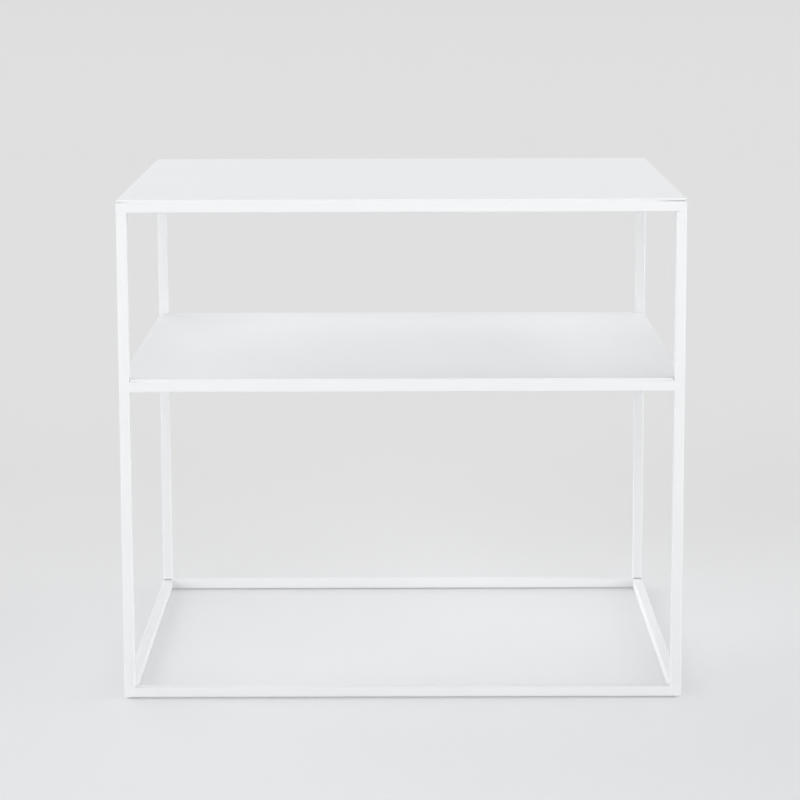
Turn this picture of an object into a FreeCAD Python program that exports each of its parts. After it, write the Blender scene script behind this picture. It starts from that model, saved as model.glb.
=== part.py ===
import FreeCAD, Part
import Sketcher
import os
from math import radians

# End table with a shelf: a welded frame of square steel tube that carries two flat steel sheets.
#
# The frame is a box.  Four mitred tubes make the base rectangle and four more the top rectangle,
# four legs stand between them, and four shelf rails are butted between the legs.  The top sheet
# lies on the top rectangle; the shelf sheet lies on the shelf rails, with its corners notched
# round the legs.  Short stitch welds under each sheet hold it, and a glide sits under each corner.
#
# Millimetres.  The origin is on the floor, under the middle of the table.
# +X is to the right along the width, the front of the table faces -Y and +Z is up.

SIZES = (
    ("overall_width", "635", "outside of the frame along X"),
    ("overall_depth", "530", "outside of the frame along Y"),
    ("overall_height", "572", "floor to the upper face of the top sheet"),
    ("shelf_height", "370", "floor to the upper face of the shelf sheet"),
    ("tube_side", "12", "outside of the square tube"),
    ("tube_corner", "2", "outer corner radius of the tube"),
    ("tube_wall", "1", "wall of the tube"),
    ("bore_corner", "1", "corner radius inside the tube"),
    ("top_thickness", "3", "top sheet"),
    ("top_corner", "1.2", "corner radius of the top sheet in plan"),
    ("shelf_thickness", "3", "shelf sheet"),
    ("sheet_inset", "0.8", "outer face of the frame back to the edge of a sheet"),
    ("notch_clearance", "0.6", "gap between the shelf sheet and a leg"),
    ("weld_radius", "3", "size of a stitch weld bead across its quarter-round section"),
    ("weld_length", "25", "length of one bead"),
    ("weld_margin", "60", "outside corner of the frame to the first bead"),
    ("glide_diameter", "8", "glide under each corner"),
    ("glide_thickness", "2", "floor to the underside of the base rails"),
    ("glide_chamfer", "0.5", "chamfer round the foot of a glide"),
)

# Heights above the floor, as expressions of the sizes.
BASE_LEVEL = "Sizes.glide_thickness"
LEG_FOOT = "(Sizes.glide_thickness + Sizes.tube_side)"
SHELF_SEAT = "(Sizes.shelf_height - Sizes.shelf_thickness)"
TOP_SEAT = "(Sizes.overall_height - Sizes.top_thickness)"
LEG_HEAD = f"({TOP_SEAT} - Sizes.tube_side)"

# The four sides in order round the table.  Each starts at a corner of the frame, given by the
# signs of its X and Y, runs along a unit vector, and has the middle of the table on its left.
# side: (corner, along, inward, turn about Z in degrees, its length, stitch welds under a sheet)
SIDES = {
    "front": ((-1, -1), (1, 0), (0, 1), 0, "Sizes.overall_width", 3),
    "right": ((1, -1), (0, 1), (-1, 0), 90, "Sizes.overall_depth", 2),
    "back": ((1, 1), (-1, 0), (0, -1), 180, "Sizes.overall_width", 3),
    "left": ((-1, 1), (0, -1), (1, 0), 270, "Sizes.overall_depth", 2),
}

# The side that starts at each corner.
CORNERS = {"front_left": "front", "front_right": "right", "back_right": "back", "back_left": "left"}

UP = FreeCAD.Vector(0, 0, 1)

# A tube lying along a side: its own X points inward, its Y up and its Z along the side.
LYING = FreeCAD.Rotation(FreeCAD.Vector(0, 1, 0), UP, FreeCAD.Vector(1, 0, 0), "ZXY")

# A bead under a sheet: its own X points inward, its Y down and its Z back along the side.
HANGING = FreeCAD.Rotation(FreeCAD.Vector(0, 1, 0), -UP, FreeCAD.Vector(-1, 0, 0), "ZXY")

STANDING = FreeCAD.Rotation()


def make_sizes(doc):
    """The spreadsheet that drives every dimension."""
    sheet = doc.addObject("Spreadsheet::Sheet", "Sizes")
    for row, (alias, value, note) in enumerate(SIZES, start=1):
        sheet.set(f"A{row}", alias)
        sheet.set(f"B{row}", value)
        sheet.setAlias(f"B{row}", alias)
        sheet.set(f"C{row}", note)
    doc.recompute()


def place(item, side, along, inward, level, lie):
    """Put an object at a distance along and inward from the corner where a side starts."""
    corner, run, inner, turn, _, _ = SIDES[side]
    item.Placement = FreeCAD.Placement(FreeCAD.Vector(), FreeCAD.Rotation(UP, turn) * lie)
    for i, (axis, extent) in enumerate((("x", "overall_width"), ("y", "overall_depth"))):
        start = f"{corner[i]} * Sizes.{extent} / 2"
        offset = f"{run[i]} * ({along}) + {inner[i]} * ({inward})"
        item.setExpression(f"Placement.Base.{axis}", f"{start} + {offset}")
    item.setExpression("Placement.Base.z", level)


# Sketches --------------------------------------------------------------------------------------


def add_sketch(body, name, plane):
    """A sketch on one of the body's own origin planes."""
    sketch = body.newObject("Sketcher::SketchObject", name)
    support = next(item for item in body.Origin.OriginFeatures if item.Role == plane)
    sketch.AttachmentSupport = (support, [""])
    sketch.MapMode = "FlatFace"
    return sketch


def value_of(sketch, expression):
    """What an expression comes to now, so that a sketch is drawn where it will be solved."""
    return float(sketch.evalExpression(expression))


def hold(sketch, line, axis, expression):
    """Hold the start of a line at a distance from the origin along one axis of the sketch."""
    value = value_of(sketch, expression)
    if expression == "0":
        axis_line = {"X": -2, "Y": -1}[axis]
        sketch.addConstraint(Sketcher.Constraint("PointOnObject", line, 1, axis_line))
        return
    rule = Sketcher.Constraint(f"Distance{axis}", -1, 1, line, 1, value)
    sketch.setExpression(f"Constraints[{sketch.addConstraint(rule)}]", expression)


def draw_polygon(sketch, outline):
    """Closed outline of straight lines through points whose X and Y are expressions."""
    points = [FreeCAD.Vector(value_of(sketch, x), value_of(sketch, y)) for x, y in outline]
    for start, end in zip(points, points[1:] + points[:1]):
        sketch.addGeometry(Part.LineSegment(start, end), False)
    for line, (x, y) in enumerate(outline):
        sketch.addConstraint(Sketcher.Constraint("Coincident", line, 2, (line + 1) % len(outline), 1))
        hold(sketch, line, "X", x)
        hold(sketch, line, "Y", y)


def draw_rounded_rectangle(sketch, low, high, radius):
    """Rectangle between two corners given as expressions, with one radius at all its corners."""
    x0, y0 = (value_of(sketch, expression) for expression in low)
    x1, y1 = (value_of(sketch, expression) for expression in high)
    r = value_of(sketch, radius)
    first = sketch.GeometryCount
    lines = (
        ((x1, y0 + r), (x1, y1 - r), "Vertical"),
        ((x1 - r, y1), (x0 + r, y1), "Horizontal"),
        ((x0, y1 - r), (x0, y0 + r), "Vertical"),
        ((x0 + r, y0), (x1 - r, y0), "Horizontal"),
    )
    for start, end, rule in lines:
        line = sketch.addGeometry(Part.LineSegment(FreeCAD.Vector(*start), FreeCAD.Vector(*end)), False)
        sketch.addConstraint(Sketcher.Constraint(rule, line))
    centres = ((x1 - r, y1 - r), (x0 + r, y1 - r), (x0 + r, y0 + r), (x1 - r, y0 + r))
    for i, centre in enumerate(centres):
        circle = Part.Circle(FreeCAD.Vector(*centre), UP, r)
        arc = sketch.addGeometry(Part.ArcOfCircle(circle, radians(90 * i), radians(90 * i + 90)), False)
        sketch.addConstraint(Sketcher.Constraint("Tangent", first + i, 2, arc, 1))
        sketch.addConstraint(Sketcher.Constraint("Tangent", arc, 2, first + (i + 1) % 4, 1))
    for arc in range(first + 5, first + 8):
        sketch.addConstraint(Sketcher.Constraint("Equal", first + 4, arc))
    rounding = sketch.addConstraint(Sketcher.Constraint("Radius", first + 4, r))
    sketch.setExpression(f"Constraints[{rounding}]", radius)
    hold(sketch, first, "X", high[0])
    hold(sketch, first + 1, "Y", high[1])
    hold(sketch, first + 2, "X", low[0])
    hold(sketch, first + 3, "Y", low[1])


# Sub-parts -------------------------------------------------------------------------------------


def add_tube(doc, label, length):
    """Square tube with one edge on its own Z axis, so that its section lies in X and Y above 0."""
    body = doc.addObject("PartDesign::Body", label)
    section = add_sketch(body, f"{label}_section", "XY_Plane")
    draw_rounded_rectangle(section, ("0", "0"), ("Sizes.tube_side", "Sizes.tube_side"), "Sizes.tube_corner")
    far_wall = "Sizes.tube_side - Sizes.tube_wall"
    draw_rounded_rectangle(section, ("Sizes.tube_wall", "Sizes.tube_wall"), (far_wall, far_wall),
                           "Sizes.bore_corner")
    run = body.newObject("PartDesign::Pad", f"{label}_run")
    run.Profile = section
    run.setExpression("Length", length)
    return body


def cut_mitre(doc, body, name, outline):
    """Cut a tube with a triangle drawn in its own X and Z, right through along Y."""
    sketch = add_sketch(body, f"{body.Label}_{name}_triangle", "XZ_Plane")
    draw_polygon(sketch, outline)
    doc.recompute()
    before = body.Shape.Volume
    cut = body.newObject("PartDesign::Pocket", f"{body.Label}_{name}_mitre")
    cut.Profile = sketch
    cut.Type = "ThroughAll"
    cut.SideType = "Symmetric"
    doc.recompute()
    if body.Shape.Volume >= before:
        raise RuntimeError(f"the {name} mitre of {body.Label} cuts nothing")


def add_mitred_rail(doc, label, side, level):
    """One side of the base or top rectangle, cut at 45 degrees at both ends."""
    length = SIDES[side][4]
    body = add_tube(doc, label, length)
    inner = "Sizes.tube_side"
    cut_mitre(doc, body, "start", (("0", "0"), (inner, "0"), (inner, inner)))
    cut_mitre(doc, body, "end", (("0", length), (inner, f"{length} - {inner}"), (inner, length)))
    place(body, side, "0", "0", level, LYING)


def add_shelf_rail(doc, side):
    """A rail butted between two legs, with its upper face under the shelf sheet."""
    body = add_tube(doc, f"shelf_rail_{side}", f"{SIDES[side][4]} - 2 * Sizes.tube_side")
    place(body, side, "Sizes.tube_side", "0", f"{SHELF_SEAT} - Sizes.tube_side", LYING)


def add_leg(doc, corner):
    """A leg standing on a corner of the base rectangle and carrying one of the top rectangle."""
    body = add_tube(doc, f"leg_{corner}", f"{LEG_HEAD} - {LEG_FOOT}")
    place(body, CORNERS[corner], "0", "0", LEG_FOOT, STANDING)


def add_sheet(doc, label, thickness, level):
    """An empty flat sheet, to be outlined from its front left corner and raised to its level."""
    body = doc.addObject("PartDesign::Body", label)
    outline = add_sketch(body, f"{label}_outline", "XY_Plane")
    plate = body.newObject("PartDesign::Pad", f"{label}_plate")
    plate.Profile = outline
    plate.setExpression("Length", thickness)
    place(body, "front", "0", "0", level, STANDING)
    return outline


def add_top_sheet(doc):
    """Plain sheet on the top rectangle, set in a little from its outer faces all round."""
    outline = add_sheet(doc, "top_sheet", "Sizes.top_thickness", TOP_SEAT)
    edge = "Sizes.sheet_inset"
    far_edges = (f"Sizes.overall_width - {edge}", f"Sizes.overall_depth - {edge}")
    draw_rounded_rectangle(outline, (edge, edge), far_edges, "Sizes.top_corner")


def add_shelf_sheet(doc):
    """Sheet on the shelf rails, set in as the top is and notched square round the legs."""
    outline = add_sheet(doc, "shelf_sheet", "Sizes.shelf_thickness", SHELF_SEAT)
    edge = "Sizes.sheet_inset"
    notch = "(Sizes.tube_side + Sizes.notch_clearance)"
    edge_x, edge_y = (f"Sizes.{extent} - {edge}" for extent in ("overall_width", "overall_depth"))
    notch_x, notch_y = (f"Sizes.{extent} - {notch}" for extent in ("overall_width", "overall_depth"))
    draw_polygon(outline, (
        (notch, edge), (notch_x, edge), (notch_x, notch),
        (edge_x, notch), (edge_x, notch_y), (notch_x, notch_y),
        (notch_x, edge_y), (notch, edge_y), (notch, notch_y),
        (edge, notch_y), (edge, notch), (notch, notch),
    ))


def add_stitch_welds(doc, label, level):
    """Quarter-round beads in the corner between a sheet and the inner faces of its rails."""
    beads = []
    for side, (_, _, _, _, length, count) in SIDES.items():
        pitch = f"({length} - 2 * Sizes.weld_margin - Sizes.weld_length) / {count - 1}"
        for i in range(count):
            bead = doc.addObject("Part::Cylinder", f"{label}_{side}_{i + 1}")
            bead.Angle = 90
            bead.setExpression("Radius", "Sizes.weld_radius")
            bead.setExpression("Height", "Sizes.weld_length")
            end = f"Sizes.weld_margin + Sizes.weld_length + {i} * {pitch}"
            place(bead, side, end, "Sizes.tube_side", level, HANGING)
            beads.append(bead)
    group = doc.addObject("Part::MultiFuse", label)
    group.Shapes = beads
    return group


def add_glide(doc, corner):
    """Round glide under the middle of a tube corner, chamfered where it meets the floor."""
    label = f"glide_{corner}"
    body = doc.addObject("PartDesign::Body", label)
    profile = add_sketch(body, f"{label}_profile", "XZ_Plane")
    radius = "Sizes.glide_diameter / 2"
    draw_polygon(profile, (
        ("0", "0"), (f"{radius} - Sizes.glide_chamfer", "0"), (radius, "Sizes.glide_chamfer"),
        (radius, "Sizes.glide_thickness"), ("0", "Sizes.glide_thickness"),
    ))
    disc = body.newObject("PartDesign::Revolution", f"{label}_disc")
    disc.Profile = profile
    disc.ReferenceAxis = (profile, ["V_Axis"])
    middle = "Sizes.tube_side / 2"
    place(body, CORNERS[corner], middle, middle, "0", STANDING)


def build_table(doc):
    """Every sub-part, from the floor up."""
    for corner in CORNERS:
        add_glide(doc, corner)
        add_leg(doc, corner)
    for side in SIDES:
        add_mitred_rail(doc, f"base_rail_{side}", side, BASE_LEVEL)
        add_shelf_rail(doc, side)
        add_mitred_rail(doc, f"top_rail_{side}", side, LEG_HEAD)
    add_shelf_sheet(doc)
    add_stitch_welds(doc, "shelf_stitch_welds", SHELF_SEAT)
    add_top_sheet(doc)
    add_stitch_welds(doc, "top_stitch_welds", TOP_SEAT)


def find_subparts(doc):
    """Every body, and every group of beads, by label; raises if anything failed."""
    failed = [item.Name for item in doc.Objects if {"Invalid", "Error"} & set(item.State)]
    if failed:
        raise RuntimeError(f"failed objects: {failed}")
    subparts = [item for item in doc.Objects if item.TypeId in ("PartDesign::Body", "Part::MultiFuse")]
    for item in subparts:
        if item.Shape.isNull() or not item.Shape.isValid() or not item.Shape.Solids:
            raise RuntimeError(f"{item.Label} has no valid solid")
    return subparts


def main():
    """Build the table and write one STEP file for each sub-part."""
    doc = FreeCAD.newDocument("EndTable")
    make_sizes(doc)
    build_table(doc)
    doc.recompute()
    subparts = find_subparts(doc)
    os.makedirs("parts", exist_ok=True)
    for item in subparts:
        item.Shape.exportStep(f"parts/{item.Label}.step")
    print(f"{len(subparts)} sub-parts, {sum(len(item.Shape.Solids) for item in subparts)} solids")


main()
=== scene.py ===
"""End table with a shelf: fine shapes, finishes, stage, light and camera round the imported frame.

Everything is in metres in the frame's own axes: +X to the right, the front faces -Y, +Z is up
and the floor is at Z = 0.
"""

from math import cos, radians, sin

import bpy
import numpy as np
from bpy.props import FloatProperty, FloatVectorProperty, PointerProperty
from mathutils import Matrix, Vector


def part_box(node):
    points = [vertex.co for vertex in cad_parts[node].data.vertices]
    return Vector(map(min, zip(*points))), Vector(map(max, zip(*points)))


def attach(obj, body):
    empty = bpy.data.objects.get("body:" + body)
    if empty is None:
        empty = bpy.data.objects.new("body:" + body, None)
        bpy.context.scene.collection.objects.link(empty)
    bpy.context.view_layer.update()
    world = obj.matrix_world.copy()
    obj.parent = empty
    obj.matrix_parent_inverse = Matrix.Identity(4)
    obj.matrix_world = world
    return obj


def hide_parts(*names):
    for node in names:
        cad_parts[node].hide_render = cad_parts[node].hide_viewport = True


bl_info = {
    "name": "End table with a shelf",
    "version": (1, 0, 0),
    "blender": (4, 5, 0),
    "location": "3D View > Sidebar > Table",
    "description": "Dresses a welded tube and sheet end table in powder coat and lights it",
    "category": "Object",
}

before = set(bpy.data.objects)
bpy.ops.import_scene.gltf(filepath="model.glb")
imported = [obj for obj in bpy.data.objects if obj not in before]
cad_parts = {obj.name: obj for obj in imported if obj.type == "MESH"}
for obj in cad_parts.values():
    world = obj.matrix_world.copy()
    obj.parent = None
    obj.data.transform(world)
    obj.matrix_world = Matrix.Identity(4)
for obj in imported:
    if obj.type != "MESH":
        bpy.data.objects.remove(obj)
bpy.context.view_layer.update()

MM = 0.001
SIDES = ("front", "right", "back", "left")
CORNERS = ("front_left", "front_right", "back_right", "back_left")
BODY = "root"
FILM_WIDTH = 36       # millimetres
FARTHEST_SEEN = 100   # metres from the camera

# Distant softboxes: azimuth, elevation, width in the sky (degrees) and strength
LAMPS = {
    "front_right_floor_level": (35, 4, 5, 0.42),
    "left_key": (309, 29, 16, 0.19),
    "right_key": (52, 43, 16, 0.15),
    "front_low": (0, 9, 8, 0.13),
    "front_left_bank": (325, 17, 26, 0.69),
    "front_right_bank": (35, 17, 26, 0.44),
    "left_low": (270, 17, 26, 0.49),
    "right_low": (90, 17, 26, 0.86),
    "right_high": (90, 45, 40, 0.19),
    "left_bank": (270, 35, 40, 0.14),
    "back_left_wide": (225, 26, 50, 1.19),
    "back_right_wide": (135, 26, 50, 0.49),
    "back_low": (180, 17, 26, 0.05),
}


# Colour ----------------------------------------------------------------------------------------


def linear(code):
    """Linear RGB of an sRGB hex colour such as "#f0f1f2"."""
    parts = [int(code[i:i + 2], 16) / 255 for i in (1, 3, 5)]
    return [c / 12.92 if c <= 0.04045 else ((c + 0.055) / 1.055) ** 2.4 for c in parts]


def colour_property(name, description, code):
    """A colour that a user may change, with an sRGB hex default."""
    return FloatVectorProperty(name=name, description=description, subtype="COLOR", size=3,
                               min=0.0, max=1.0, default=linear(code))


def length_property(name, description, millimetres):
    """A length that a user may change, with its default in millimetres."""
    return FloatProperty(name=name, description=description, unit="LENGTH", precision=5,
                         default=millimetres * MM)


# Sizes and colours that a user may change ------------------------------------------------------


class TableShapeSettings(bpy.types.PropertyGroup):
    """Fine sizes of the tube, the sheets and the welds."""

    tube_corner: length_property("Tube corner", "Outer corner radius of the square tube", 1.5)
    cut_edge: length_property("Cut edge", "Softening of a tube's cut end under the coat", 0.12)
    back_foot_edge: length_property("Back foot edge", "Softening at the foot of a back leg", 1.0)
    back_foot_gap: length_property("Back foot gap", "Root gap left open under a back leg", 0.6)
    sheet_edge: length_property("Sheet edge", "Radius of a sheet's coated edges", 0.5)
    sheet_corner: length_property("Sheet corner", "Corner radius of a sheet in plan", 1.2)
    sheet_wave: length_property("Sheet wave", "Height of the waves rolled into a sheet", 0.12)
    right_lift: length_property("Right lift", "Rise of the top's front right corner", 0.6)
    left_lift: length_property("Left lift", "Rise of the top's front left corner", 0.18)
    weld_leg: length_property("Weld leg", "Leg of the small fillet welds at the tube joints", 1.3)
    filler_rise: length_property("Filler rise", "How far the filler comes up a sheet's edge", 0.6)


class TableFinishSettings(bpy.types.PropertyGroup):
    """Colours and grain of the finishes."""

    coat_colour: colour_property("Coat", "Colour of the powder coat", "#f0f1f2")
    glide_colour: colour_property("Glides", "Colour of the moulded glides", "#dcdcda")
    # Floor and backdrop colours differ as painted light falloff: the paper is painted darker behind
    # the table than in front of it.
    floor_colour: colour_property("Floor", "Colour of the floor in front", "#edeef0")
    backdrop_colour: colour_property("Backdrop", "Colour of the paper behind the table", "#e6e6e6")
    horizon_colour: colour_property("Horizon", "Colour of the curve's top and beyond", "#dadada")
    floor_glow: FloatProperty(name="Floor glow", description="Even share of the floor's look",
                              subtype="FACTOR", min=0.0, max=1.0, default=0.35)
    coat_roughness: FloatProperty(name="Coat roughness", description="Roughness of the powder coat",
                                  subtype="FACTOR", min=0.0, max=1.0, default=0.7)
    peel_spacing: length_property("Peel spacing", "Distance between the dimples of the coat", 2.2)
    peel_depth: length_property("Peel depth", "Depth of the dimples of the coat", 0.012)


class TableStageSettings(bpy.types.PropertyGroup):
    """Floor, light and camera."""

    floor_radius: length_property("Floor radius", "Flat part of the floor", 7000)
    cove_run: length_property("Cove run", "How far the curve behind the flat floor goes back", 3500)
    cove_rise: length_property("Cove rise", "How high the curve goes up into the backdrop", 1000)
    light_level: FloatProperty(name="Light level", description="Strength of all the lamps together",
                               min=0.0, default=1.0)
    sky: FloatProperty(name="Sky", description="Strength of the even light from all round",
                       min=0.0, default=0.30)
    lens: FloatProperty(name="Lens", description="Focal length of the camera in millimetres",
                        subtype="DISTANCE_CAMERA", default=123.63)
    camera_place: FloatVectorProperty(name="Camera", description="Where the camera stands",
                                      subtype="TRANSLATION", default=(0.0015, -3.3028, 0.8766))
    pitch: FloatProperty(name="Pitch", description="How far the camera looks down",
                         subtype="ANGLE", default=radians(8.577))
    yaw: FloatProperty(name="Yaw", description="How far the camera looks to the left",
                       subtype="ANGLE", default=radians(0.064))
    roll: FloatProperty(name="Roll", description="How far the camera leans",
                        subtype="ANGLE", default=radians(-0.168))
    rise: FloatProperty(name="Rise", description="Upward shift of the lens, in picture widths",
                        default=-0.08)


# Surfaces --------------------------------------------------------------------------------------


def quarter_turn(steps):
    """Angles t from 0 to 90 degrees in equal steps."""
    return np.linspace(0, np.pi / 2, steps + 1)


def rounded_outline(corners, radius, steps=6, guard=0.05 * MM):
    """Points and outward normals of a right-angled outline whose corners are quarter circles.

    corners run anticlockwise.  At a corner with edge directions a and b the circle's middle is
    corner + radius * (b - a), the normal turns from the one edge's to the other's, and a point is
    middle + normal * radius outside a corner, or middle - normal * radius inside one.  A guard
    point on each edge beside the arc keeps the flat beside it flat when it is shaded.
    """
    here = np.array(corners, float)
    into = here - np.roll(here, 1, 0)
    into /= np.linalg.norm(into, axis=1)[:, None]
    out = np.roll(into, -1, 0)
    normal_in = into[:, ::-1] * (1, -1)
    normal_out = out[:, ::-1] * (1, -1)
    convex = np.sign(into[:, 0] * out[:, 1] - into[:, 1] * out[:, 0])[:, None, None]
    middle = (here + radius * (out - into))[:, None]
    turn = quarter_turn(steps)[None, :, None]
    normals = normal_in[:, None] * np.cos(turn) + normal_out[:, None] * np.sin(turn)
    points = middle + convex * radius * normals
    first = points[:, :1] - into[:, None] * guard
    last = points[:, -1:] + out[:, None] * guard
    points = np.concatenate([first, points, last], 1).reshape(-1, 2)
    normals = np.concatenate([normals[:, :1], normals, normals[:, -1:]], 1).reshape(-1, 2)
    return points, normals


def rectangle(low, high):
    """Corners of a rectangle, anticlockwise."""
    return [(low[0], low[1]), (high[0], low[1]), (high[0], high[1]), (low[0], high[1])]


def ring_quads(first, rings, around):
    """Four-sided faces between rings, where ring r has the points first + r * around onwards."""
    step = np.arange(around)
    following = (step + 1) % around
    near = first + around * np.arange(rings - 1)[:, None]
    far = near + around
    corners = (near + step, near + following, far + following, far + step)
    return np.stack(corners, -1).reshape(-1, 4)


def skin_faces(rings, around):
    """Quads between the rings, and the two fans that close them, as arrays of point numbers.

    Point 0 is the first pole, ring r has points 1 + r * around onwards, and the last point is
    the last pole.
    """
    step = np.arange(around)
    following = (step + 1) % around
    top = 1 + around * (rings - 1)
    first_fan = np.stack([np.zeros(around, int), 1 + following, 1 + step], -1)
    last_fan = np.stack([np.full(around, top + around), top + step, top + following], -1)
    return ring_quads(1, rings, around), np.concatenate([first_fan, last_fan])


def skin(rings):
    """Points and faces of a closed skin over rings, an array (rings, points round, 3).

    Each end is closed by a fan to the middle of its ring.  The faces are turned outwards: the
    sum over them of first point . (second x third) is six times the volume, and must be positive.
    """
    count, around, _ = rings.shape
    points = np.concatenate([rings[0].mean(0)[None], rings.reshape(-1, 3), rings[-1].mean(0)[None]])
    quads, fans = skin_faces(count, around)
    triangles = np.concatenate([quads[:, :3], quads[:, [0, 2, 3]], fans])
    a, b, c = (points[triangles[:, i]] for i in range(3))
    if np.einsum("ij,ij->", a, np.cross(b, c)) < 0:
        quads, fans = quads[:, ::-1], fans[:, ::-1]
    return points, quads.tolist() + fans.tolist()


def add_piece(name, skins, material, replaces=(), sharp=40):
    """One object made of closed skins, riding on the frame; edges over sharp degrees stay hard."""
    points, faces, start = [], [], 0
    for skin_points, skin_face_list in skins:
        points.append(skin_points)
        faces += [[start + i for i in face] for face in skin_face_list]
        start += len(skin_points)
    mesh = bpy.data.meshes.new(name)
    mesh.from_pydata(np.concatenate(points).tolist(), [], faces)
    mesh.update()
    mesh.shade_smooth()
    mesh.set_sharp_from_angle(angle=radians(sharp))
    piece = bpy.data.objects.new(name, mesh)
    bpy.context.scene.collection.objects.link(piece)
    mesh.materials.append(bpy.data.materials[material])
    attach(piece, BODY)
    if replaces:
        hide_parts(*replaces)


def tube_skin(low, high, mitred, corner, end_edges):
    """Closed skin of a square tube between two corners of its box.

    The section is a square with quarter-round corners.  Along the tube, a point that lies d in
    from the outer face of the table starts at low + mitred * d and ends at high - mitred * d, so
    mitred = 1 gives ends at 45 degrees and 0 gives square ones.  Over the last bit of each end
    the section draws in by edge * (1 - sin t) while it runs on by edge * (1 - cos t).
    """
    low, high = np.array(low), np.array(high)
    along = int(np.argmax(high - low))
    across, up = [axis for axis in range(3) if axis != along]
    outline, normals = rounded_outline(rectangle(low[[across, up]], high[[across, up]]), corner)
    outer_face = low[across] if low[across] + high[across] < 0 else high[across]
    turn = quarter_turn(3)
    rings = []
    for end, way, edge in ((low[along], 1, end_edges[0]), (high[along], -1, end_edges[1])):
        part = []
        for inset, advance in zip(edge * (1 - np.sin(turn)), edge * (1 - np.cos(turn))):
            section = outline - normals * inset
            ring = np.empty((len(section), 3))
            ring[:, [across, up]] = section
            ring[:, along] = end + way * (mitred * abs(section[:, 0] - outer_face) + advance)
            part.append(ring)
        rings += part if way == 1 else part[::-1]
    return skin(np.array(rings))


def split_long_edges(points, normals, longest):
    """The same outline with points added on its long edges, at equal steps of at most longest."""
    edge = np.roll(points, -1, 0) - points
    counts = np.maximum(1, np.ceil(np.linalg.norm(edge, axis=1) / longest)).astype(int)
    source = np.repeat(np.arange(len(points)), counts)
    step = np.arange(counts.sum()) - np.repeat(np.cumsum(counts) - counts, counts)
    share = (step / np.repeat(counts, counts))[:, None]
    return points[source] + share * edge[source], normals[source]


def sheet_skin(corners, low_z, high_z, corner, edge, offset, longest=12 * MM, flat_rings=35):
    """Closed skin of a flat sheet with an outline of right angles and softened edges.

    From the middle of the upper face, rings grow as shares of the outline drawn in by the edge
    radius; round the edge the outline is drawn in by edge * (1 - sin t) and lies
    edge * (1 - cos t) under the face; the lower face is the same in reverse.  offset(x, y) is
    then added to every height.
    """
    outline, normals = split_long_edges(*rounded_outline(corners, corner), longest)
    smallest = 0.02
    shares = np.linspace(smallest, 1, flat_rings, endpoint=False)
    turn = quarter_turn(4)
    inset, drop = edge * (1 - np.sin(turn)), edge * (1 - np.cos(turn))
    flat = shares[:, None, None] * (outline - normals * edge)
    rim = outline - normals * inset[:, None, None]
    plan = np.concatenate([flat, rim, rim[::-1], flat[::-1]])
    depth = np.concatenate([0 * shares, drop])
    height = np.concatenate([high_z - depth, low_z + depth[::-1]])
    rings = np.empty((*plan.shape[:2], 3))
    rings[..., :2] = plan
    rings[..., 2] = height[:, None] + offset(plan[..., 0], plan[..., 1])
    return skin(rings)


def disc_skin(centre, radius, low_z, high_z, edge, around=48):
    """Closed skin of a disc: circles of radius - edge + edge * sin t at edge * (1 - cos t)."""
    turn = quarter_turn(5)
    radii = np.concatenate([radius - edge + edge * np.sin(turn), [radius]])
    heights = np.concatenate([low_z + edge * (1 - np.cos(turn)), [high_z]])
    angle = np.linspace(0, 2 * np.pi, around, endpoint=False)
    rings = np.empty((len(radii), around, 3))
    rings[..., 0] = centre[0] + radii[:, None] * np.cos(angle)
    rings[..., 1] = centre[1] + radii[:, None] * np.sin(angle)
    rings[..., 2] = heights[:, None]
    return skin(rings)


def profile_skin(section, scale, anchor, start, along, across, up, run):
    """Closed skin of a profile carried along a straight path.

    At a distance v * run along the path the profile is anchor + scale(v) * (section - anchor),
    drawn with across and up as its two directions.
    """
    section, anchor = np.array(section), np.array(anchor)
    share, size = scale
    drawn = anchor + size[:, None, None] * (section - anchor)
    along, across, up = (np.array(axis, float) for axis in (along, across, up))
    path = np.array(start) + (share * run)[:, None, None] * along
    return skin(path + drawn[..., :1] * across + drawn[..., 1:] * up)


def tapered(stations, least, sharpness):
    """Shares along a path, and sizes that fall from 1 to least at both ends.

    The size is least + (1 - least) * sqrt(1 - |2v - 1| ** sharpness).
    """
    share = np.linspace(0, 1, stations)
    size = least + (1 - least) * np.sqrt(1 - np.abs(2 * share - 1) ** sharpness)
    return share, size


# Where things are, read from the frame ---------------------------------------------------------


def side_frame(side):
    """Corner where a side starts, unit vectors along it and inward, and its length."""
    low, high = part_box("base_rail_front")
    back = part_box("base_rail_back")[1].y
    place = {
        "front": ((low.x, low.y), (1, 0), (0, 1), high.x - low.x),
        "right": ((high.x, low.y), (0, 1), (-1, 0), back - low.y),
        "back": ((high.x, back), (-1, 0), (0, -1), high.x - low.x),
        "left": ((low.x, back), (0, -1), (1, 0), back - low.y),
    }[side]
    corner, along, inward, length = place
    return np.array([*corner, 0.0]), np.array([*along, 0.0]), np.array([*inward, 0.0]), length


def tube_side():
    """Outside of the square tube."""
    low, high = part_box("leg_front_left")
    return high.x - low.x


def sheet_inset(node):
    """From the outer face of the frame back to the edge of a sheet."""
    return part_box(node)[0].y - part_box("base_rail_front")[0].y


# Pieces ----------------------------------------------------------------------------------------


def add_tube(name, node, mitred, end_edges, root_gap=0.0):
    """A coated tube that stands for the tube of that node, its low end short by the root gap."""
    low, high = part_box(node)
    low.z += root_gap
    corner = bpy.context.scene.table_shape.tube_corner
    tube = tube_skin(low, high, mitred, corner, end_edges)
    add_piece(name, [tube], "baked_white_coat", [node])


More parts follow.
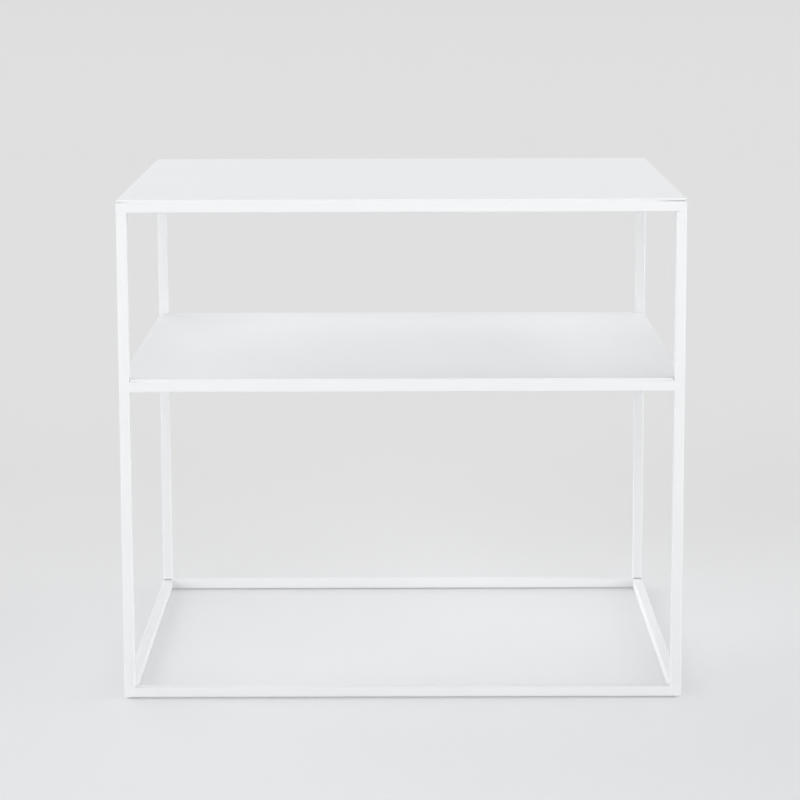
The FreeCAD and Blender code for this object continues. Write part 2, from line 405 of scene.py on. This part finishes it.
def sheet_waves(wave, lifts):
    """Height added to a sheet at (x, y): a crossed wave, a slanting one and any raised corners.

    The crossed wave is sin(x / a + 0.8) * cos(y / b - 0.4), the slanting one is
    sin((x + 2 y) / c), and they share the height 0.6 to 0.4.  A raised corner is
    lift * exp(-distance / reach) with the distance from the corner.
    """
    across, back, slant = 71 * MM, 83 * MM, 190 * MM

    def offset(x, y):
        crossed = np.sin(x / across + 0.8) * np.cos(y / back - 0.4)
        slanting = np.sin((x + 2 * y) / slant)
        height = wave / 2 * (0.6 * crossed + 0.4 * slanting)
        for (corner_x, corner_y), lift, reach in lifts:
            height = height + lift * np.exp(-np.hypot(x - corner_x, y - corner_y) / reach)
        return height
    return offset


def bead_skins(node, counts):
    """Rippled quarter-round beads under a sheet, in the corner with its rails.

    The section's radius swells and dips by a sixteenth along the bead, once for every 3 mm, and
    is drawn in by as much, so that no bead is thicker than the node's.
    """
    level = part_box(node)[1].z
    radius = 0.94 * (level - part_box(node)[0].z)
    length, margin, pitch, swell = 25 * MM, 60 * MM, 3 * MM, 1 / 16
    turn = quarter_turn(8)
    section = np.concatenate([[[0, 0]], radius * np.stack([np.cos(turn), -np.sin(turn)], 1)])
    share, size = tapered(stations=73, least=0.1, sharpness=8)
    size = size * (1 + swell * np.cos(2 * np.pi * share * length / pitch))
    skins = []
    for side in SIDES:
        corner, along, inward, span = side_frame(side)
        starts = np.linspace(margin, span - margin - length, counts[side])
        for start in starts:
            place = corner + along * start + inward * tube_side()
            place[2] = level
            skins.append(profile_skin(section, (share, size), (0, 0), place, along, inward,
                                      (0, 0, 1), length))
    return skins


def corner_weld_skins(level, way, leg, bare):
    """Small concave fillets where tubes meet at the four corners, above or below a level.

    The section runs leg out along each face, joined by the arc (leg - leg sin t, leg - leg cos t).
    The joints named in bare, as a side and its start or end, have none.
    """
    turn = quarter_turn(6)
    arc = leg * np.stack([1 - np.sin(turn), 1 - np.cos(turn)], 1)
    sunk = -0.1 * MM
    section = np.concatenate([[[leg, sunk]], arc, [[sunk, leg], [sunk, sunk]]])
    size = tapered(stations=17, least=0.25, sharpness=6)
    margin = 0.6 * bpy.context.scene.table_shape.tube_corner
    tube = tube_side()
    run = tube - 2 * margin
    skins = []
    for side in SIDES:
        corner, along, inward, span = side_frame(side)
        for end, distance, direction in (("start", tube, 1), ("end", span - tube, -1)):
            if (side, end) in bare:
                continue
            place = corner + along * distance + inward * margin
            place[2] = level
            skins.append(profile_skin(section, size, (sunk, sunk), place, inward, along * direction,
                                      (0, 0, way), run))
    return skins


def ground_weld_skins(joints, corner):
    """Welds ground flush, which fill the groove beside the round corner of a tube.

    A joint is where it starts, the directions along it, across it towards the round corner and
    inward, and its run.  The section lies a hair proud of the face, from a little before the
    joint to just past the corner's radius, and goes back inside both tubes.
    """
    proud, lap, before = 0.02 * MM, 0.4 * MM, 1.3 * MM
    section = [(-before, -proud), (corner + lap, -proud), (corner + lap, lap), (lap, corner),
               (-before, corner)]
    size = tapered(stations=33, least=0.1, sharpness=12)
    return [profile_skin(section, size, (lap, corner), start, along, across, inward, run)
            for start, along, across, inward, run in joints]


def leg_joints(level, way, open_ends):
    """Joints of the legs' ends with the rails above (way 1) or below (way -1) a level.

    open_ends gives, for a side and its start or end, how much of the joint is left open.
    """
    joints = []
    for side in SIDES:
        corner, along, inward, span = side_frame(side)
        for place, distance, direction in (("start", 0.0, 1), ("end", span, -1)):
            start = corner + along * distance
            start[2] = level
            run = tube_side() - open_ends.get((side, place), 0.0)
            joints.append((start, along * direction, (0, 0, way), inward, run))
    return joints


def shelf_rail_joints():
    """Joints of the shelf rails' ends with the sides of the legs, over the flat of the rails."""
    low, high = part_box("shelf_rail_front")
    joints = []
    for side in SIDES:
        corner, along, inward, span = side_frame(side)
        for distance, towards_leg in ((tube_side(), -1), (span - tube_side(), 1)):
            start = corner + along * distance
            start[2] = low.z
            joints.append((start, (0, 0, 1), along * towards_leg, inward, high.z - low.z))
    return joints


def seam_filler_skins(node, gaps, corner_radius, rise):
    """Filler between the edge of a sheet and the round top of its rails, open at the corners.

    The section goes from the outer face of the rail up to the edge of the sheet and back inside
    both.  At either end it shrinks into the bottom of the groove: the size there is
    (0.02 + distance from the end / fade) ** 0.6.
    """
    inset, level = sheet_inset(node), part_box(node)[0].z
    groove_bottom = (1.5 * MM, -0.1 * MM)
    least = 0.02
    section = np.array([
        (0.015 * corner_radius, -0.875 * corner_radius),
        (0.15 * corner_radius, -0.375 * corner_radius),
        (0.78 * inset, 0.05 * MM),
        (inset - 0.03 * MM, rise),
        (inset + 0.3 * MM, 0.3 * MM),
        (inset + 0.4 * MM, -0.6 * MM),
    ])
    skins = []
    for side in SIDES:
        corner, along, inward, span = side_frame(side)
        (first, first_fade), (last, last_fade) = gaps[side]
        run = span - first - last
        rising = np.linspace(least, 1, 9)
        from_start = (rising - least) * first_fade / run
        from_end = (rising[::-1] - least) * last_fade / run
        share = np.concatenate([from_start, 1 - from_end])
        size = np.concatenate([rising, rising[::-1]]) ** 0.6
        place = corner + along * first
        place[2] = level
        skins.append(profile_skin(section, (share, size), groove_bottom, place, along, inward,
                                  (0, 0, 1), run))
    return skins


# Materials -------------------------------------------------------------------------------------

# Numbers of a colour mix's inputs and of its output, whose names it has more than once
MIX_FIRST, MIX_SECOND, MIXED = 6, 7, 2


def add_node(tree, kind, inputs=None, settings=None):
    """Add a node, set its settings, and set its inputs or link them to another node's output.

    Inputs go by name, or by number where two of a node's inputs share a name.
    """
    node = tree.nodes.new(kind)
    for name, value in (settings or {}).items():
        setattr(node, name, value)
    for key, value in (inputs or {}).items():
        if isinstance(value, bpy.types.NodeSocket):
            tree.links.new(value, node.inputs[key])
        else:
            node.inputs[key].default_value = value
    return node


def new_material(name):
    """The tree of an empty node material, and the socket for its surface."""
    material = bpy.data.materials.new(name)
    material.use_nodes = True
    tree = material.node_tree
    tree.nodes.clear()
    return tree, add_node(tree, "ShaderNodeOutputMaterial").inputs["Surface"]


def seen_share(tree, share):
    """The share, for what the camera, a reflection or a see-through path gets, and otherwise 0."""
    path = add_node(tree, "ShaderNodeLightPath").outputs
    seen = path["Is Camera Ray"]
    for other in ("Is Glossy Ray", "Is Transmission Ray"):
        seen = add_node(tree, "ShaderNodeMath", {0: seen, 1: path[other]},
                        {"operation": "ADD", "use_clamp": True}).outputs["Value"]
    return add_node(tree, "ShaderNodeMath", {0: seen, 1: share},
                    {"operation": "MULTIPLY"}).outputs["Value"]


def make_powder_coat(finish):
    """White matt polyester powder coat, sprayed dry and baked, with a fine orange peel.

    To the eye it is an even white with a faint sheen at low angles, which the dimples break up
    and the IOR of 1.4 keeps weak.  The dimples are about twice as wide as real ones, so that they
    show at all.  Clouds 90 mm apart stand for the slight unevenness of hand spraying: where the
    coat is thin it is a little darker and smoother.
    """
    tree, surface = new_material("baked_white_coat")
    place = add_node(tree, "ShaderNodeTexCoord").outputs["Object"]
    peel = add_node(tree, "ShaderNodeTexNoise", {
        "Vector": place, "Scale": 1 / finish.peel_spacing, "Detail": 1.5, "Roughness": 0.5})
    cloud_spacing = 90 * MM
    cloud = add_node(tree, "ShaderNodeTexNoise", {
        "Vector": place, "Scale": 1 / cloud_spacing, "Detail": 2.0, "Roughness": 0.6})
    bump = add_node(tree, "ShaderNodeBump", {
        "Strength": 1.0, "Distance": finish.peel_depth, "Height": peel.outputs["Fac"]})
    thin_shade, spread = 0.985, 0.05
    thin = [thin_shade * share for share in finish.coat_colour]
    tone = add_node(tree, "ShaderNodeMix", {
        0: cloud.outputs["Fac"], MIX_FIRST: (*thin, 1), MIX_SECOND: (*finish.coat_colour, 1)},
        {"data_type": "RGBA"})
    rough = add_node(tree, "ShaderNodeMapRange", {
        "Value": cloud.outputs["Fac"], "To Min": finish.coat_roughness - spread,
        "To Max": finish.coat_roughness + spread}, {"interpolation_type": "SMOOTHSTEP"})
    shader = add_node(tree, "ShaderNodeBsdfPrincipled", {
        "Base Color": tone.outputs[MIXED], "Roughness": rough.outputs["Result"], "IOR": 1.4,
        "Normal": bump.outputs["Normal"]})
    tree.links.new(shader.outputs["BSDF"], surface)


def make_glide_plastic(finish):
    """Moulded polyethylene: undyed and dull, slightly waxy, with a fine moulded grain."""
    tree, surface = new_material("moulded_polyethylene")
    place = add_node(tree, "ShaderNodeTexCoord").outputs["Object"]
    grain_spacing, grain_depth = 0.6 * MM, 0.02 * MM
    grain = add_node(tree, "ShaderNodeTexNoise", {
        "Vector": place, "Scale": 1 / grain_spacing, "Detail": 2.0})
    bump = add_node(tree, "ShaderNodeBump", {
        "Strength": 0.6, "Distance": grain_depth, "Height": grain.outputs["Fac"]})
    shader = add_node(tree, "ShaderNodeBsdfPrincipled", {
        "Base Color": (*finish.glide_colour, 1), "Roughness": 0.6, "IOR": 1.51,
        "Normal": bump.outputs["Normal"]})
    tree.links.new(shader.outputs["BSDF"], surface)


def make_studio_paper(finish, stage):
    """Matt seamless studio paper, painted a little paler in front of the table than behind it:
    painted falloff of the light.

    A share of what the camera, a reflection or a see-through path gets from it is its own even
    colour, which lifts the shadows on it; the rest is lit like any matt paper.  Up the curve the
    share grows to the whole and the colour goes over into the horizon's, so no edge shows there.
    """
    tree, surface = new_material("studio_paper")
    place = add_node(tree, "ShaderNodeTexCoord").outputs["Object"]
    axes = add_node(tree, "ShaderNodeSeparateXYZ", {"Vector": place}).outputs
    smooth, colour = {"interpolation_type": "SMOOTHSTEP"}, {"data_type": "RGBA"}
    # Painted light falloff: the paper's colour goes from paler in front of the table to darker
    # behind it.
    paler_to, darker_from = -900 * MM, 1200 * MM
    behind = add_node(tree, "ShaderNodeMapRange", {
        "Value": axes["Y"], "From Min": paler_to, "From Max": darker_from}, smooth)
    flat = add_node(tree, "ShaderNodeMix", {
        0: behind.outputs["Result"], MIX_FIRST: (*finish.floor_colour, 1),
        MIX_SECOND: (*finish.backdrop_colour, 1)}, colour)
    raised = add_node(tree, "ShaderNodeMapRange", {
        "Value": axes["Z"], "From Max": stage.cove_rise}, smooth)
    tone = add_node(tree, "ShaderNodeMix", {
        0: raised.outputs["Result"], MIX_FIRST: flat.outputs[MIXED],
        MIX_SECOND: (*finish.horizon_colour, 1)}, colour).outputs[MIXED]
    glow = add_node(tree, "ShaderNodeMapRange", {
        "Value": raised.outputs["Result"], "To Min": finish.floor_glow})
    lit = add_node(tree, "ShaderNodeBsdfDiffuse", {"Color": tone})
    even = add_node(tree, "ShaderNodeEmission", {"Color": tone, "Strength": 1.0})
    mix = add_node(tree, "ShaderNodeMixShader", {
        "Fac": seen_share(tree, glow.outputs["Result"]), 1: lit.outputs["BSDF"],
        2: even.outputs["Emission"]})
    tree.links.new(mix.outputs["Shader"], surface)


# Stage -----------------------------------------------------------------------------------------


def add_paper(stage):
    """Round floor that curves up into a low wall: circles of growing radius, then an ellipse's arc.

    On the curve a circle's radius is floor + run * sin t and its height rise * (1 - cos t).  The
    wall is low, so that it stands before little more than the lamp at floor level.
    """
    around, flat_rings = 96, 29
    turn = quarter_turn(24)
    flat = np.linspace(0, 1, flat_rings, endpoint=False) ** 2 * stage.floor_radius
    radii = np.concatenate([flat, stage.floor_radius + stage.cove_run * np.sin(turn)])
    heights = np.concatenate([0 * flat, stage.cove_rise * (1 - np.cos(turn))])
    angle = np.linspace(0, 2 * np.pi, around, endpoint=False)
    points = np.stack([np.outer(radii, np.cos(angle)), np.outer(radii, np.sin(angle)),
                       np.outer(heights, np.ones(around))], -1)
    quads = ring_quads(0, len(radii), around)[:, ::-1]
    mesh = bpy.data.meshes.new("studio_floor")
    mesh.from_pydata(points.reshape(-1, 3).tolist(), [], quads.tolist())
    mesh.update()
    mesh.shade_smooth()
    mesh.materials.append(bpy.data.materials["studio_paper"])
    floor = bpy.data.objects.new("studio_floor", mesh)
    bpy.context.scene.collection.objects.link(floor)


def add_lamp(name, azimuth, elevation, width, strength):
    """A distant softbox: parallel light from one direction, as wide in the sky as width degrees.

    Azimuth 0 is in front of the table and 90 to its right.
    """
    light = bpy.data.lights.new(name, "SUN")
    light.energy = strength
    light.angle = radians(width)
    lamp = bpy.data.objects.new(name, light)
    turn, lift = radians(azimuth), radians(elevation)
    towards = Vector((sin(turn) * cos(lift), -cos(turn) * cos(lift), sin(lift)))
    lamp.rotation_euler = towards.to_track_quat("Z", "Y").to_euler()
    bpy.context.scene.collection.objects.link(lamp)


def add_sky(stage, horizon):
    """Even light from all round; to the camera and in reflections it is the horizon's colour."""
    world = bpy.data.worlds.new("studio")
    world.use_nodes = True
    tree = world.node_tree
    tree.nodes.clear()
    light = add_node(tree, "ShaderNodeBackground", {"Color": (1, 1, 1, 1), "Strength": stage.sky})
    seen = add_node(tree, "ShaderNodeBackground", {"Color": (*horizon, 1), "Strength": 1.0})
    mix = add_node(tree, "ShaderNodeMixShader", {
        "Fac": seen_share(tree, 1.0), 1: light.outputs["Background"],
        2: seen.outputs["Background"]})
    add_node(tree, "ShaderNodeOutputWorld", {"Surface": mix.outputs["Shader"]})
    bpy.context.scene.world = world


def add_camera(stage):
    """Camera that looks along +Y, turned left by yaw, down by pitch, then leaned by roll."""
    data = bpy.data.cameras.new("camera")
    data.sensor_width = FILM_WIDTH
    data.lens = stage.lens
    data.shift_y = stage.rise
    data.clip_end = FARTHEST_SEEN
    camera = bpy.data.objects.new("camera", data)
    pitch, yaw, roll = stage.pitch, stage.yaw, stage.roll
    forward = Vector((-sin(yaw) * cos(pitch), cos(yaw) * cos(pitch), -sin(pitch)))
    level_right = Vector((cos(yaw), sin(yaw), 0))
    level_up = level_right.cross(forward)
    right = cos(roll) * level_right + sin(roll) * level_up
    up = cos(roll) * level_up - sin(roll) * level_right
    turned = Matrix((right, up, -forward)).transposed().to_4x4()
    camera.matrix_world = Matrix.Translation(stage.camera_place) @ turned
    bpy.context.scene.collection.objects.link(camera)
    bpy.context.scene.camera = camera


# Operators -------------------------------------------------------------------------------------


class TABLE_OT_finishes(bpy.types.Operator):
    """Mix the powder coat, the glides' plastic and the studio paper"""

    bl_idname = "table.finishes"
    bl_label = "Finishes"

    def execute(self, context):
        scene = context.scene
        make_powder_coat(scene.table_finish)
        make_glide_plastic(scene.table_finish)
        make_studio_paper(scene.table_finish, scene.table_stage)
        return {"FINISHED"}


class TABLE_OT_legs(bpy.types.Operator):
    """Make the four legs"""

    bl_idname = "table.legs"
    bl_label = "Legs"

    def execute(self, context):
        shape = context.scene.table_shape
        for corner in CORNERS:
            back = corner.startswith("back")
            foot = shape.back_foot_edge if back else shape.cut_edge
            root_gap = shape.back_foot_gap if back else 0.0
            add_tube(f"coated_leg_{corner}", f"leg_{corner}", 0, (foot, shape.cut_edge), root_gap)
        return {"FINISHED"}


class TABLE_OT_rails(bpy.types.Operator):
    """Make the base, shelf and top rails"""

    bl_idname = "table.rails"
    bl_label = "Rails"

    def execute(self, context):
        edge = context.scene.table_shape.cut_edge
        for level, mitred in (("base", 1), ("shelf", 0), ("top", 1)):
            for side in SIDES:
                node = f"{level}_rail_{side}"
                add_tube(f"coated_{node}", node, mitred, (edge, edge))
        return {"FINISHED"}


class TABLE_OT_top_sheet(bpy.types.Operator):
    """Make the top sheet"""

    bl_idname = "table.top_sheet"
    bl_label = "Top sheet"

    def execute(self, context):
        shape = context.scene.table_shape
        low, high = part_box("top_sheet")
        right_reach, left_reach = 30 * MM, 15 * MM
        lifts = (((high.x, low.y), shape.right_lift, right_reach),
                 ((low.x, low.y), shape.left_lift, left_reach))
        sheet = sheet_skin(rectangle(low, high), low.z, high.z, shape.sheet_corner,
                           shape.sheet_edge, sheet_waves(shape.sheet_wave, lifts))
        add_piece("coated_top_sheet", [sheet], "baked_white_coat",
                  ["top_sheet"])
        return {"FINISHED"}


class TABLE_OT_shelf_sheet(bpy.types.Operator):
    """Make the shelf sheet, notched round the legs"""

    bl_idname = "table.shelf_sheet"
    bl_label = "Shelf sheet"

    def execute(self, context):
        shape = context.scene.table_shape
        low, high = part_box("shelf_sheet")
        clearance, notch_corner = 0.6 * MM, 0.8 * MM
        notch = tube_side() + clearance - sheet_inset("shelf_sheet")
        near_x, far_x = low.x + notch, high.x - notch
        near_y, far_y = low.y + notch, high.y - notch
        corners = [
            (near_x, low.y), (far_x, low.y), (far_x, near_y), (high.x, near_y),
            (high.x, far_y), (far_x, far_y), (far_x, high.y), (near_x, high.y),
            (near_x, far_y), (low.x, far_y), (low.x, near_y), (near_x, near_y),
        ]
        sheet = sheet_skin(corners, low.z, high.z, notch_corner, shape.sheet_edge,
                           sheet_waves(shape.sheet_wave, ()))
        add_piece("coated_shelf_sheet", [sheet], "baked_white_coat",
                  ["shelf_sheet"])
        return {"FINISHED"}


class TABLE_OT_stitch_welds(bpy.types.Operator):
    """Make the stitch welds that hold the sheets down"""

    bl_idname = "table.stitch_welds"
    bl_label = "Stitch welds"

    def execute(self, context):
        counts = {"front": 3, "right": 2, "back": 3, "left": 2}
        for level in ("shelf", "top"):
            node = f"{level}_stitch_welds"
            add_piece(f"rippled_{node}", bead_skins(node, counts), "baked_white_coat",
                      [node], 60)
        return {"FINISHED"}


class TABLE_OT_corner_welds(bpy.types.Operator):
    """Make the small fillet welds where the tubes meet, with none at the feet of the back legs"""

    bl_idname = "table.corner_welds"
    bl_label = "Corner welds"

    def execute(self, context):
        leg = context.scene.table_shape.weld_leg
        back_feet = (("left", "start"), ("right", "end"))
        levels = (("base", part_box("base_rail_front")[1].z, 1, back_feet),
                  ("shelf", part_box("shelf_rail_front")[0].z, -1, ()),
                  ("top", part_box("top_rail_front")[0].z, -1, ()))
        for name, level, way, bare in levels:
            add_piece(f"{name}_corner_welds", corner_weld_skins(level, way, leg, bare),
                      "baked_white_coat", (), 50)
        return {"FINISHED"}


class TABLE_OT_ground_welds(bpy.types.Operator):
    """Make the welds ground flush; the top's front right one stops short and leaves a nick"""

    bl_idname = "table.ground_welds"
    bl_label = "Ground welds"

    def execute(self, context):
        corner = context.scene.table_shape.tube_corner
        nick = {("front", "end"): 2.8 * MM}
        joints = {
            "top": leg_joints(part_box("top_rail_front")[0].z, 1, nick),
            "shelf": shelf_rail_joints(),
            "base": leg_joints(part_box("base_rail_front")[1].z, -1, {}),
        }
        for name, places in joints.items():
            add_piece(f"{name}_ground_welds", ground_weld_skins(places, corner),
                      "baked_white_coat", (), 50)
        return {"FINISHED"}


class TABLE_OT_seam_filler(bpy.types.Operator):
    """Make the filler between the sheets and their rails, left open at the corners"""

    bl_idname = "table.seam_filler"
    bl_label = "Seam filler"

    def execute(self, context):
        shape = context.scene.table_shape
        # For either end of a side: millimetres left open, and millimetres over which it fades
        usual = ((20, 8), (20, 8))
        fronts = {"top_sheet": ((12, 5), (26, 20)), "shelf_sheet": ((20, 12), (30, 12))}
        for node, front in fronts.items():
            gaps = {side: np.array(front if side == "front" else usual) * MM for side in SIDES}
            filler = seam_filler_skins(node, gaps, shape.tube_corner, shape.filler_rise)
            add_piece(f"{node}_seam_filler", filler, "baked_white_coat", (), 50)
        return {"FINISHED"}


class TABLE_OT_glides(bpy.types.Operator):
    """Make the glides under the corners"""

    bl_idname = "table.glides"
    bl_label = "Glides"

    def execute(self, context):
        for corner in CORNERS:
            node = f"glide_{corner}"
            low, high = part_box(node)
            centre, radius, edge = (low + high) / 2, (high.x - low.x) / 2, 0.5 * MM
            disc = disc_skin(centre, radius, low.z, high.z, edge)
            add_piece(f"moulded_{node}", [disc], "moulded_polyethylene", [node])
        return {"FINISHED"}


class TABLE_OT_stage(bpy.types.Operator):
    """Set up the floor, the light and the camera"""

    bl_idname = "table.stage"
    bl_label = "Stage"

    def execute(self, context):
        scene = context.scene
        stage = scene.table_stage
        add_paper(stage)
        add_sky(stage, scene.table_finish.horizon_colour)
        for name, (azimuth, elevation, width, strength) in LAMPS.items():
            add_lamp(name, azimuth, elevation, width, strength * stage.light_level)
        add_camera(stage)
        scene.view_settings.view_transform = "Standard"
        return {"FINISHED"}


OPERATORS = (
    TABLE_OT_finishes,
    TABLE_OT_legs,
    TABLE_OT_rails,
    TABLE_OT_top_sheet,
    TABLE_OT_shelf_sheet,
    TABLE_OT_stitch_welds,
    TABLE_OT_corner_welds,
    TABLE_OT_ground_welds,
    TABLE_OT_seam_filler,
    TABLE_OT_glides,
    TABLE_OT_stage,
)


class TABLE_PT_panel(bpy.types.Panel):
    """The table's steps, in order, with their sizes and colours"""

    bl_idname = "TABLE_PT_panel"
    bl_label = "End table"
    bl_space_type = "VIEW_3D"
    bl_region_type = "UI"
    bl_category = "Table"

    def draw(self, context):
        scene = context.scene
        for settings in (scene.table_shape, scene.table_finish, scene.table_stage):
            box = self.layout.box()
            for name in settings.__annotations__:
                box.prop(settings, name)
        for operator in OPERATORS:
            self.layout.operator(operator.bl_idname)


GROUPS = {
    "table_shape": TableShapeSettings,
    "table_finish": TableFinishSettings,
    "table_stage": TableStageSettings,
}


def register():
    for group in GROUPS.values():
        bpy.utils.register_class(group)
    for name, group in GROUPS.items():
        setattr(bpy.types.Scene, name, PointerProperty(type=group))
    for operator in OPERATORS:
        bpy.utils.register_class(operator)
    bpy.utils.register_class(TABLE_PT_panel)


def unregister():
    bpy.utils.unregister_class(TABLE_PT_panel)
    for operator in reversed(OPERATORS):
        bpy.utils.unregister_class(operator)
    for name in GROUPS:
        delattr(bpy.types.Scene, name)
    for group in GROUPS.values():
        bpy.utils.unregister_class(group)


def main():
    """Make the table and its stage."""
    register()
    bpy.ops.table.finishes()
    bpy.ops.table.legs()
    bpy.ops.table.rails()
    bpy.ops.table.top_sheet()
    bpy.ops.table.shelf_sheet()
    bpy.ops.table.stitch_welds()
    bpy.ops.table.corner_welds()
    bpy.ops.table.ground_welds()
    bpy.ops.table.seam_filler()
    bpy.ops.table.glides()
    bpy.ops.table.stage()
    bpy.context.view_layer.update()


if __name__ == "__main__":
    main()
